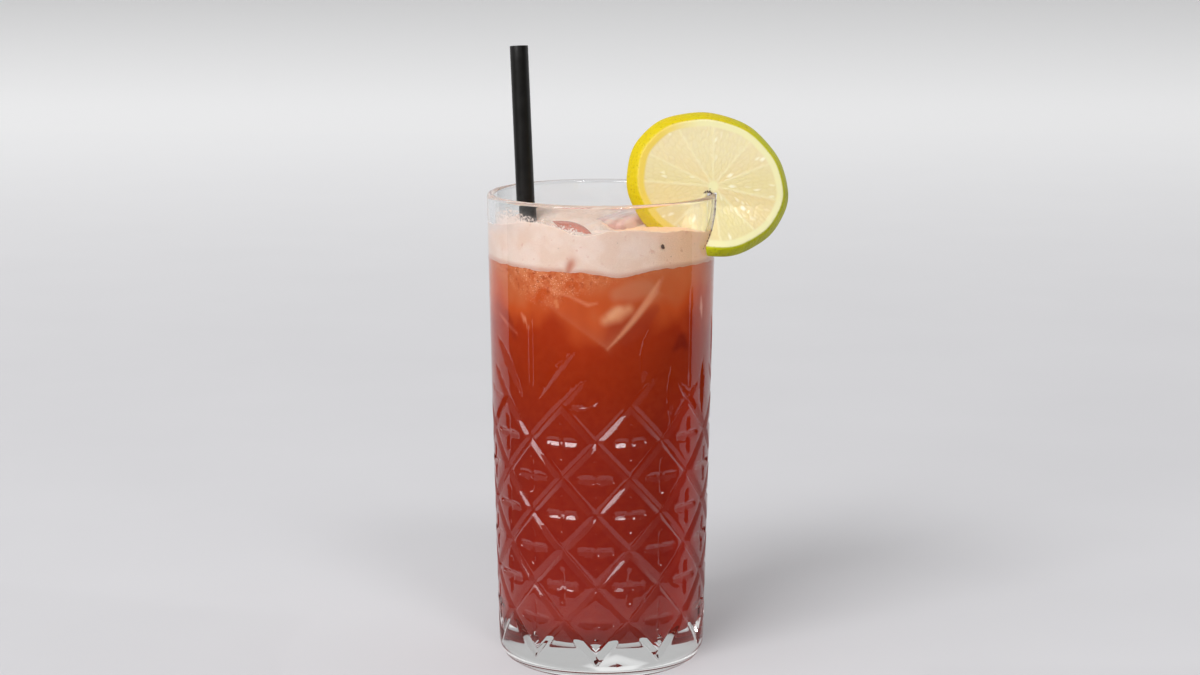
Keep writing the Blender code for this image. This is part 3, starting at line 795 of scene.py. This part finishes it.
def drink_mesh():
    angles = angles_round(COLUMNS_ROUND)
    top = interface(angles)
    low = FLOOR_THICKNESS + FLOOR_CORNER
    rings = [around(angles, part * inner_radius(top), top) for part in (0.35, 0.7)]
    for share in np.linspace(0, 1, 190):
        height = top + (low - top) * share
        rings.append(around(angles, inner_radius(height) + REACH, height))
    for radius, height in inside_profile(-REACH, low, 1)[4:]:
        rings.append(around(angles, radius, height))
    mesh = skin_mesh("drink", rings, (0, 0, DRINK_LEVEL), (0, 0, FLOOR_THICKNESS - REACH))
    face_outwards(mesh)
    points = points_of(mesh)
    round_angles = angle_at(points[:, 0], points[:, 1])
    paint(mesh, "tone", drink_tones(points, round_angles, points[:, 2]))
    below = (DRINK_LEVEL - points[:, 2]) / MM
    froth = smooth(1.25 - below / (2.0 + 10 * bell(round_angles, -30, 30)))
    froth *= 0.12 + 0.88 * bell(round_angles, -34, 40)
    paint(mesh, "froth", np.repeat(froth[:, None], 3, 1))
    return mesh


def ridge_mesh():
    """The wet edge of a sunk cube of ice that just breaks the foam: thickest near its right end."""
    run = RIDGE_END - RIDGE_START
    aside = np.array((run[1], -run[0])) / np.linalg.norm(run)
    turns = np.linspace(0, 2 * math.pi, 25)[:-1]
    rings = []
    for part in np.linspace(0.02, 0.98, 40):
        half = RIDGE_HALF * math.sin(math.pi * part**1.3) ** 0.8
        flat = RIDGE_START + run * part + aside * np.cos(turns)[:, None] * half
        level = RIDGE_LEVEL - RIDGE_FALL * part + half * np.sin(turns)
        rings.append(np.column_stack((flat, level)))
    return skin_mesh("ridge", rings, rings[0].mean(0), rings[-1].mean(0))


def foam_tones(points):
    """The colour of the foam: tan at the right, hazy at the far left and red where the drink shows."""
    angles = angle_at(points[:, 0], points[:, 1])
    edge = np.hypot(points[:, 0], points[:, 1]) / inner_radius(points[:, 2])
    above = points[:, 2] - drink_top(angles, 1.0)
    mottle = cloud(points, 9 * MM, 8.0)
    tones = mixed(linear(229, 208, 195), linear(223, 196, 179), smooth(0.5 + mottle))
    tones = mixed(tones, linear(255, 206, 162), bell(angles, 54, 24) * 0.9)
    at_wall = smooth((edge - 0.97) / 0.02)
    thin = at_wall * smooth(1 - above / (1.6 * MM)) * 0.5
    lean = angles + 16 - (above / MM - 2) * 0.5
    spike = at_wall * bell(lean, 0, 2.6) * smooth(1.5 - above / (3.9 * MM)) * 0.85
    tones = mixed(tones, linear(182, 104, 80), np.maximum(thin, spike))
    hazy = at_wall * bell(angles, -84, 30) * smooth((points[:, 2] - 145 * MM) / (4.5 * MM))
    return mixed(tones, linear(208, 204, 204), hazy * 0.8)


def foam_mesh():
    angles = angles_round(COLUMNS_ROUND)
    rings = []
    reach = inner_radius(FOAM_LEVEL) + REACH
    for part in 1 - (1 - np.linspace(0.02, 1, 64)) ** 1.15:
        flat = around(angles, reach * part, 0.0)
        flat[:, 2] = foam_top(flat[:, 0], flat[:, 1])
        lumps = cloud(flat, 5 * MM, 1.0, 4) * 0.35 + cloud(flat, 1.2 * MM, 2.0, 2) * 0.12
        flat[:, 2] += lumps * MM * (0.9 + 0.1 * smooth((1 - part) / 0.15))
        rings.append(flat)
    lip = rings[-1][:, 2]
    rings[-1] = around(angles, inner_radius(lip) + REACH, lip)
    low = interface(angles) - FOAM_OVERLAP
    for share in (*np.linspace(0.005, 0.995, 28), 1.0):
        height = lip + (low - lip) * share
        rings.append(around(angles, inner_radius(height) + REACH * 1.15, height))
    rings.append(around(angles, inner_radius(low) * 0.9, low))
    mesh = skin_mesh("foam", rings, (0, 0, foam_top(0.0, 0.0)), (0, 0, DRINK_LEVEL - FOAM_OVERLAP))
    face_outwards(mesh)
    paint(mesh, "tone", foam_tones(points_of(mesh)))
    return mesh


def film_mesh():
    """The film of froth left on the wall above the foam at the left, one layer thin."""
    columns = np.linspace(*FILM_ANGLES, 201)
    heights = np.linspace(*FILM_HEIGHTS, 48) * MM
    rows = [around(columns, inner_radius(height) - FILM_INSET, height) for height in heights]
    mesh = sheet_mesh("film", rows)
    angles, levels = np.meshgrid(columns, heights / MM)
    top = 151.4 + 3.2 * bell(angles, -54, 16) - 2.6 * bell(angles, 0, 16)
    cover = smooth((top - levels) / 8.5 + 0.5)
    cover *= smooth((angles - FILM_ANGLES[0]) / 20) * smooth(-angles / 16 + 0.1)
    paint(mesh, "cover", np.repeat(cover.reshape(-1, 1), 3, 1))
    return mesh


# Specks of pulp: (angle, height in mm) at the wall, and (aside, above, size) in mm on the lime's core
WALL_SPECKS = (
    (55.1, 143.6), (37.9, 140.6), (26.4, 142.1), (21.0, 141.2), (45.0, 145.8), (8.0, 146.0), (-22.2, 143.9),
    (50.0, 139.6),
)
CORE_SPECKS = (
    (-2.2, -3.1, 0.28), (-1.7, -2.9, 0.4), (-1.1, -2.7, 0.46), (-0.4, -2.8, 0.5), (0.1, -3.2, 0.4),
    (-0.2, -1.8, 0.2),
)

# Where specks lie along the lime's slit, in mm: from, to and step up its face, and from and to across it
SLIT_SPECKS_UP = (-3.8, -21.5, -0.34)
SLIT_SPECKS_ASIDE = (-14, 8)


def specks_mesh():
    """Bits of pulp caught in the foam and along the slit of the lime."""
    chooser = random.Random(11)
    bm = bmesh.new()

    def add_speck(place, size, flat=1.0):
        spin = Euler([chooser.uniform(0, 3) for _ in range(3)]).to_matrix().to_4x4()
        shape = Matrix.Diagonal((1.0, chooser.uniform(0.5, 0.9), flat, 1.0))
        matrix = Matrix.Translation(place) @ spin @ shape
        bmesh.ops.create_icosphere(bm, subdivisions=2, radius=size, matrix=matrix)

    def on_wall(angle, height, out):
        return Vector(around(angle, inner_radius(height) + out, height))

    add_speck(on_wall(32.4, 144.2 * MM, 0.3 * MM), 0.75 * MM)
    add_speck(on_wall(33.2, 143.7 * MM, 0.3 * MM), 0.36 * MM)
    for angle, height in WALL_SPECKS:
        add_speck(on_wall(angle, height * MM, 0.17 * MM), chooser.uniform(0.06, 0.15) * MM)
    across, up, out = [Vector(axis) for axis in wheel_axes()]
    core = WHEEL_CENTRE + out * 0.1 * MM
    for aside, above, size in CORE_SPECKS:
        add_speck(core + across * aside * MM + up * above * MM, size * MM, 0.6)
    asides = np.linspace(*SLIT_SPECKS_ASIDE, 221) * MM
    for above in np.arange(*SLIT_SPECKS_UP) * MM:
        places = wheel_places(asides, np.full_like(asides, above), np.zeros_like(asides))
        gap = np.hypot(places[:, 0], places[:, 1]) - outer_radius(places[:, 2])
        place = Vector(places[np.abs(gap - chooser.uniform(0.0, 0.25) * MM).argmin()])
        add_speck(place, chooser.uniform(0.05, 0.26) * MM, 0.7)
    return mesh_from("pulp", bm)


# Ice

def ice_mesh():
    """The cube that stands out of the foam, melted round and a little dimpled."""
    bm = bmesh.new()
    bmesh.ops.create_cube(bm, size=1)
    bmesh.ops.scale(bm, verts=bm.verts, vec=ICE_SIZE)
    bmesh.ops.bevel(bm, geom=bm.edges[:], offset=ICE_ROUNDING, segments=5, profile=0.5, affect="EDGES")
    bmesh.ops.triangulate(bm, faces=bm.faces)
    for _ in range(3):
        long_edges = [edge for edge in bm.edges if edge.calc_length() > ICE_LONGEST_EDGE]
        bmesh.ops.subdivide_edges(bm, edges=long_edges, cuts=1, use_grid_fill=True)
        bmesh.ops.triangulate(bm, faces=bm.faces)
    for vert in bm.verts:
        dent = noise.fractal(vert.co / (9 * MM), 0.6, 2.1, 3)
        vert.co *= 1 + 0.035 * dent - 0.012
    bmesh.ops.rotate(bm, verts=bm.verts, matrix=ICE_TURN.to_matrix())
    bmesh.ops.translate(bm, verts=bm.verts, vec=ICE_CENTRE)
    return mesh_from("ice", bm)


# Straw

def straw_mesh():
    """An open tube with a rounded lip at both ends."""
    outer = STRAW_DIAMETER / 2
    middle = outer - STRAW_WALL / 2
    length = (STRAW_TOP - STRAW_FOOT).length
    turn = np.linspace(0, 2 * np.pi, STRAW_SEGMENTS, endpoint=False)
    profile = arc(middle, length - STRAW_WALL / 2, STRAW_WALL / 2, 0, 180, 5)
    profile += arc(middle, STRAW_WALL / 2, STRAW_WALL / 2, 180, 360, 5)
    steps = np.linspace(STRAW_WALL / 2, length - STRAW_WALL / 2, 40)[1:-1]
    profile += [(outer, height) for height in steps]
    rings = [np.stack((r * np.cos(turn), r * np.sin(turn), np.full_like(turn, h)), 1) for r, h in profile]
    mesh = skin_mesh("straw", [*rings, rings[0]])
    face_outwards(mesh, WELD)
    upright = (STRAW_TOP - STRAW_FOOT).to_track_quat("Z", "Y").to_matrix().to_4x4()
    mesh.transform(Matrix.Translation(STRAW_FOOT) @ upright)
    return mesh


# Lime

def wheel_axes():
    across = np.array((math.cos(WHEEL_YAW), math.sin(WHEEL_YAW), 0))
    ahead = np.array((math.sin(WHEEL_YAW), -math.cos(WHEEL_YAW), 0))
    out = ahead * math.cos(WHEEL_LEAN) + np.array((0, 0, math.sin(WHEEL_LEAN)))
    return across, np.cross(out, across), out


def flap_swing(aside, up):
    """How far places on the wheel are pushed forwards: nothing but the foot of the outer flap is."""
    reach = np.maximum(0.0, -up - FLAP_TOP) / FLAP_HEIGHT
    inner = smooth(1 - (FLAP_SIDE - aside) / FLAP_FADE_IN)
    outer = np.cos(math.pi / 2 * np.clip((aside - FLAP_SIDE) / FLAP_FADE_OUT, 0, 1))
    return FLAP_SWING * np.where(aside < FLAP_SIDE, inner, outer) * reach**1.3


def wheel_places(aside, above, depth):
    """World places from the wheel's own: aside and above on its face, and a depth behind it."""
    across, up, out = wheel_axes()
    swing = flap_swing(aside, above)[:, None] * np.array((0, -1, FLAP_RISE))
    flat = aside[:, None] * across + above[:, None] * up - depth[:, None] * out
    return np.array(WHEEL_CENTRE) + flat + swing


def sac_place(along, across, segment):
    """Where a place in a segment, in mm, lies among the juice sacs, which are longer than wide."""
    return along / SAC_LENGTH, across / SAC_WIDTH, segment * SEGMENTS_APART


def flesh_seeds(chooser):
    """The middles of the juice sacs of each segment, and a random tone for each."""
    seeds = KDTree(3000)
    tones = []
    for segment in range(len(MEMBRANES)):
        for along in np.arange(1.5, 26, 2.6):
            for across in np.arange(-9, 9, 1.25):
                place = (along + chooser.uniform(-1, 1), across + chooser.uniform(-0.5, 0.5))
                seeds.insert(sac_place(*place, segment), len(tones))
                tones.append(chooser.random())
    seeds.balance()
    return seeds, np.array(tones)


def flesh_pattern(aside, above, edge, mirrored):
    """The relief and colours of the cut flesh at places on the wheel, with painted highlights on a few sacs.
    """
    seeds, sac_tones = flesh_seeds(random.Random(4 + mirrored))
    x = aside - CORE[0]
    y = above - CORE[1]
    far = np.hypot(x, y)
    angle = np.arctan2(y, x) % (2 * np.pi)
    starts = np.sort(MEMBRANES % (2 * np.pi))
    index = (np.searchsorted(starts, angle) - 1) % len(starts)
    width = (np.roll(starts, -1) - starts) % (2 * np.pi)
    into = (angle - starts[index]) % (2 * np.pi)
    middle = into - width[index] / 2
    skin = np.sin(np.minimum(np.minimum(into, width[index] - into), np.pi / 2)) * far
    along = far * np.cos(middle) / MM
    across = far * np.sin(middle) / MM
    gap = np.empty(len(far))
    sac = np.empty(len(far))
    for k, place in enumerate(zip(along, across, index)):
        (_, nearest, first), (_, _, second) = seeds.find_n(sac_place(*place), 2)
        gap[k] = second - first
        sac[k] = sac_tones[nearest]
    inside = np.minimum((edge - PITH_WIDTH) / MM, far / MM - CORE_RADIUS)
    flesh = smooth(inside / 0.9)
    membrane = smooth(1 - skin / (0.7 * MM)) * flesh
    dome = smooth(gap / 0.45)
    relief = flesh * (0.07 * dome + 0.05 * sac) - 0.1 * flesh + 0.06 * membrane
    segment_warmth = (np.sin(index * 2.4 + 1.0) + 1) / 2
    pale = mixed(linear(225, 212, 160), linear(228, 209, 158), segment_warmth)
    pale = mixed(pale, linear(233, 222, 186), smooth((above + 2 * MM) / (15 * MM)) * 0.6)
    pale = mixed(pale, linear(208, 184, 116), (1 - dome) * 0.12)
    # Painted highlights: a few sacs are painted near white, as glints
    pale = mixed(pale, linear(250, 248, 232), smooth((sac - 0.91) / 0.05) * smooth(gap / 0.9) * 0.75)
    pale = mixed(pale, linear(238, 230, 192), membrane * 0.45)
    pith = mixed(linear(232, 226, 178), linear(228, 202, 92), smooth(-aside / (18 * MM)))
    return relief * MM, mixed(pith, pale, flesh * 0.95)


def rind_tones(points, turn, back_shade_share):
    """Yellow at the left and top of the wheel, green at the right and below, with painted shade that greens
    it a little toward the back edge.
    """
    toward = np.degrees(turn) % 360
    levels = (0.62, 0.5, 0.26, 0.06, 0.0, 0.2, 0.55, 0.78, 0.62)
    green = np.interp(toward, (0, 40, 75, 110, 180, 215, 250, 300, 360), levels)
    # Painted shade: the rind is made greener and darker toward its back edge
    green = green + cloud(points, 7 * MM, 4.0) * 0.18 + 0.1 * back_shade_share
    tones = mixed(linear(210, 186, 0), linear(190, 190, 0), smooth(green * 1.5))
    return mixed(tones, linear(150, 150, 0), smooth((green - 0.5) * 1.9) * 0.8)


def outline(turn, flare, step=0.0):
    """The wheel's edge seen along its axis, rolled, with the slight lumps of a real fruit."""
    lump = 1 + 0.006 * np.sin(5 * turn + 1.1) + 0.004 * np.sin(11 * turn)
    along = (WHEEL_HALF_LENGTH + flare) * lump * np.cos(turn) + step * np.cos(turn)
    beside = (WHEEL_HALF_BREADTH + flare) * lump * np.sin(turn) + step * np.sin(turn)
    aside = along * math.cos(WHEEL_ROLL) - beside * math.sin(WHEEL_ROLL)
    above = along * math.sin(WHEEL_ROLL) + beside * math.cos(WHEEL_ROLL)
    return aside, above


def face_rings(turn, back):
    """One cut face as rings with their colours: the front from its middle out, the back inwards."""
    depth = WHEEL_THICKNESS * back
    edge_aside, edge_above = outline(turn, WHEEL_FLARE * back, -WHEEL_EDGE)
    parts = np.linspace(1, 0, FACE_RINGS, endpoint=False)
    for part in parts if back else parts[::-1]:
        aside = edge_aside * part
        above = edge_above * part
        edge = np.hypot(edge_aside, edge_above) * (1 - part)
        relief, colours = flesh_pattern(aside, above, edge, back)
        yield wheel_places(aside, above, depth + relief if back else depth - relief), colours


def rind_rings(turn):
    """The rind from the front edge to the back one as rings with their colours: it bulges a little."""
    for share in np.linspace(0, 1, RIND_RINGS):
        depth = WHEEL_EDGE * 0.5 + (WHEEL_THICKNESS - WHEEL_EDGE) * share
        bulge = WHEEL_FLARE * math.sin(WHEEL_BULGE * depth / WHEEL_THICKNESS) / math.sin(WHEEL_BULGE)
        round_off = -0.2 * MM if share in (0.0, 1.0) else 0.0
        aside, above = outline(turn, bulge, round_off)
        places = wheel_places(aside, above, np.full_like(turn, depth))
        yield places, rind_tones(places, np.arctan2(above, aside), share)


def wheel_mesh():
    """The round of lime before its slit: two cut faces of juice sacs and the rind between them."""
    turn = np.linspace(0, 2 * np.pi, WHEEL_COLUMNS, endpoint=False)
    rings, tones = zip(*face_rings(turn, 0), *rind_rings(turn), *face_rings(turn, 1))
    centres = wheel_places(np.zeros(2), np.zeros(2), np.array((0.0, WHEEL_THICKNESS)))
    mesh = skin_mesh("lime", rings, *centres)
    face_outwards(mesh)
    paint(mesh, "tone", np.concatenate((*tones, [linear(236, 230, 190)] * 2)))
    first = FACE_RINGS * WHEEL_COLUMNS
    last = first + RIND_RINGS * WHEEL_COLUMNS
    for polygon in mesh.polygons:
        polygon.material_index = int(any(first <= k < last for k in polygon.vertices))
    return mesh


def wall_cutter():
    """A ring a little fatter than the wall, which cuts the slit that hooks over the rim."""
    angles = angles_round(240)
    top = GLASS_HEIGHT + 0.3 * MM
    heights = np.linspace(SLIT_BOTTOM, top, 8)
    rings = [around(angles, outer_radius(height) + SLIT_GAP, height) for height in heights]
    rings += [around(angles, inner_radius(height) - SLIT_GAP, height) for height in heights[::-1]]
    mesh = skin_mesh("wall_cutter", [*rings, rings[0]])
    face_outwards(mesh, WELD)
    paint(mesh, "tone", np.tile(linear(240, 228, 170), (len(mesh.vertices), 1)))
    return mesh


def slit(mesh, materials):
    """The wheel with the wall's slit cut out of it."""
    for finish in materials:
        mesh.materials.append(finish)
    cutter_mesh = wall_cutter()
    cutter_mesh.materials.append(materials[0])
    whole = link("whole_wheel", mesh)
    cutter = link("wall_space", cutter_mesh)
    modifier = whole.modifiers.new("slit", "BOOLEAN")
    modifier.operation = "DIFFERENCE"
    modifier.solver = "MANIFOLD"
    modifier.object = cutter
    graph = bpy.context.evaluated_depsgraph_get()
    cut = bpy.data.meshes.new_from_object(whole.evaluated_get(graph))
    bpy.data.objects.remove(whole)
    bpy.data.objects.remove(cutter)
    return cut


# Stage, camera and lights

def add_floor():
    """A plain pale floor with painted light: a little darker near the glass, painted brighter further back,
    where it also glows.
    """
    made, tree, shader = new_material("pale floor")
    blotches = noise_of(tree, 9.0, 3.0)
    near = colour_mix(tree, blotches, (0.62, 0.615, 0.635), (0.66, 0.655, 0.675))
    parts = add_node(tree, "SeparateXYZ")
    dress(tree, parts, Vector=add_node(tree, "TexCoord").outputs["Object"])
    # Painted light: the floor is painted brighter away from the glass and glows there, though it is no lamp
    far = ranged(tree, parts.outputs["Y"], 0.15, 2.4)
    dress(tree, shader, Base_Color=colour_mix(tree, far, near, (0.93, 0.93, 0.94)), Roughness=0.7,
          Specular_IOR_Level=0.2, Emission_Color=(1.0, 1.0, 1.0, 1), Emission_Strength=times(tree, far, 0.11))
    bm = bmesh.new()
    bmesh.ops.create_grid(bm, x_segments=8, y_segments=8, size=FLOOR_HALF_SIZE)
    bmesh.ops.translate(bm, verts=bm.verts, vec=(0, 0, -FLOOR_DROP))
    mesh = mesh_from("floor", bm)
    mesh.materials.append(made)
    link("floor", mesh)


def add_flag():
    """A dark card on the floor round the front of the glass, seen only in reflections."""
    made, tree, shader = new_material("dark card")
    dress(tree, shader, Base_Color=(0.03, 0.03, 0.03, 1), Roughness=1.0)
    turns = np.linspace(*CARD_ANGLES, 106)
    inner = CARD_INNER + CARD_STEP * smooth((turns - CARD_STEP_ANGLE) / 6)
    mesh = sheet_mesh("flag", [around(turns, radius, CARD_HEIGHT) for radius in (inner, CARD_OUTER)])
    mesh.materials.append(made)
    flag = link("flag", mesh)
    flag.visible_camera = flag.visible_diffuse = flag.visible_shadow = flag.visible_transmission = False


def add_camera():
    lens = bpy.data.cameras.new("camera")
    lens.lens = CAMERA_LENS
    lens.sensor_width = SENSOR_WIDTH
    lens.clip_start = 0.01
    camera = link("camera", lens)
    camera.location = CAMERA_PLACE
    camera.rotation_euler = (math.pi / 2 - CAMERA_DOWN, 0, 0)
    bpy.context.scene.camera = camera


def add_softbox(name, angle, height, distance, width, depth, power):
    """A soft lamp aimed at the glass."""
    lamp = bpy.data.lights.new(name, "AREA")
    lamp.shape = "RECTANGLE"
    lamp.size = width
    lamp.size_y = depth
    lamp.energy = power
    made = link(name, lamp)
    turn = math.radians(angle)
    made.location = (distance * math.sin(turn), -distance * math.cos(turn), height)
    made.rotation_euler = (LAMP_AIM - made.location).to_track_quat("-Z", "Y").to_euler()


def add_world():
    """A pale studio: bright above and behind, dimmer on the camera's side, and most so at the right."""
    world = bpy.data.worlds.new("studio")
    world.use_nodes = True
    tree = world.node_tree
    parts = add_node(tree, "SeparateXYZ")
    dress(tree, parts, Vector=add_node(tree, "TexCoord").outputs["Generated"])
    ahead = ranged(tree, parts.outputs["X"], -0.5, 0.6, 0.75, 0.3)
    behind = ranged(tree, parts.outputs["Y"], -0.5, 0.3)
    low = ranged(tree, parts.outputs["Z"], 0.15, 0.28, 0.35, 0.0)
    around_glass = times(tree, colour_mix(tree, behind, ahead, (1.0, 1.0, 1.0)), 0.5)
    glow = maths(tree, "ADD", around_glass, times(tree, behind, low))
    path = add_node(tree, "LightPath")
    plain = colour_mix(tree, path.outputs["Is Camera Ray"], glow, (0.68, 0.68, 0.69))
    dress(tree, tree.nodes["Background"], Color=plain, Strength=1.0)
    bpy.context.scene.world = world


def build():
    add_camera()
    add_floor()
    add_flag()
    add_world()
    for softbox in SOFTBOXES:
        add_softbox(*softbox)
    bpy.context.scene.view_settings.view_transform = "Standard"
    light_paths = bpy.context.scene.cycles
    light_paths.max_bounces = light_paths.glossy_bounces = light_paths.transmission_bounces = LIGHT_BOUNCES

    add_piece("glass_cut", glass_mesh(), [clear_glass()], "glass", 14)
    add_piece("drink_red", drink_mesh(), [cloudy_drink()], "drink")
    add_piece("foam_pale", foam_mesh(), [pale_foam()], "foam")
    add_piece("froth_film", film_mesh(), [froth_film()])
    add_piece("wet_ridge", ridge_mesh(), [plain_material("wet ice", linear(206, 124, 102), 0.25)])
    add_piece("pulp_specks", specks_mesh(), [plain_material("dark pulp", linear(98, 76, 64), 0.6)])
    add_piece("ice_cube", ice_mesh(), [frosted_ice()], "ice_1")
    add_piece("straw_tube", straw_mesh(), [black_straw()], "straw", 40)
    add_piece("lime_slice", slit(wheel_mesh(), [lime_flesh(), lime_rind()]), [], "lime_wheel", 60)


build()
